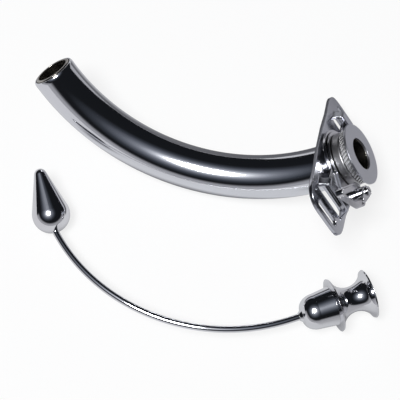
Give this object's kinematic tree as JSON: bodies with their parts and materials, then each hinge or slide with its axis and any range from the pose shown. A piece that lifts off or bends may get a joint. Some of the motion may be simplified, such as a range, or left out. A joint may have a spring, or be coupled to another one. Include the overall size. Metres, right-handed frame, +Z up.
{
  "type": "tracheostomy tube",
  "caption": "Polished metal tracheostomy tube with hinged neck plate, withdrawable inner tube, swivel lock and a separate curved pilot.",
  "frame": {"origin": "centre of the inner tube's mouth, in the plane of the disc's front face, with the set lying on a table as in its picture", "axes": "+Z up from the table, +X along the set's longest extent from the far end of the tube towards the neck plate, +Y away from the viewer"},
  "size_m": [0.078, 0.0603, 0.0283],
  "materials": {
    "polished_tube": "mirror polished silver plate",
    "polished_plate": "mirror polished silver plate",
    "polished_head": "mirror polished silver plate",
    "polished_lock": "mirror polished silver plate",
    "polished_pilot": "mirror polished silver plate"
  },
  "bodies": {
    "outer_cannula": {"outer_tube": "polished_tube", "outer_collar": "polished_head", "base_flange": "polished_head", "lock_post": "polished_lock", "lock_screw": "polished_lock"},
    "inner_cannula": {"inner_tube": "polished_tube", "knurled_ring": "polished_head", "inner_disc": "polished_head"},
    "plate": {"neck_plate": "polished_plate"},
    "lock": {"lock_lever": "polished_lock"},
    "pilot": {"pilot_stop": "polished_pilot", "pilot_rod": "polished_pilot", "pilot_tip": "polished_pilot", "thumb_spool": "polished_pilot"}
  },
  "joints": [
    {"name": "inner_withdraw", "type": "hinge", "parent": "outer_cannula", "child": "inner_cannula", "pos_m": [-0.03007, 0.0268, 0.0259], "axis": [-0.2066, -0.7898, 0.5775], "range_deg": [0, 96]},
    {"name": "plate_rock", "type": "hinge", "parent": "outer_cannula", "child": "plate", "pos_m": [-0.00405, -0.00101, -0.00284], "axis": [-0.2066, -0.7898, 0.5775], "range_deg": [-5, 5]},
    {"name": "lock_swivel", "type": "hinge", "parent": "outer_cannula", "child": "lock", "pos_m": [-0.00227, -0.01053, 0.00158], "axis": [0.8025, 0.2008, 0.5618], "range_deg": [-20, 197]},
    {"name": "pilot_lift", "type": "slide", "parent": "outer_cannula", "child": "pilot", "axis": [0, 0, 1], "range_m": [0, 0.06]}
  ]
}
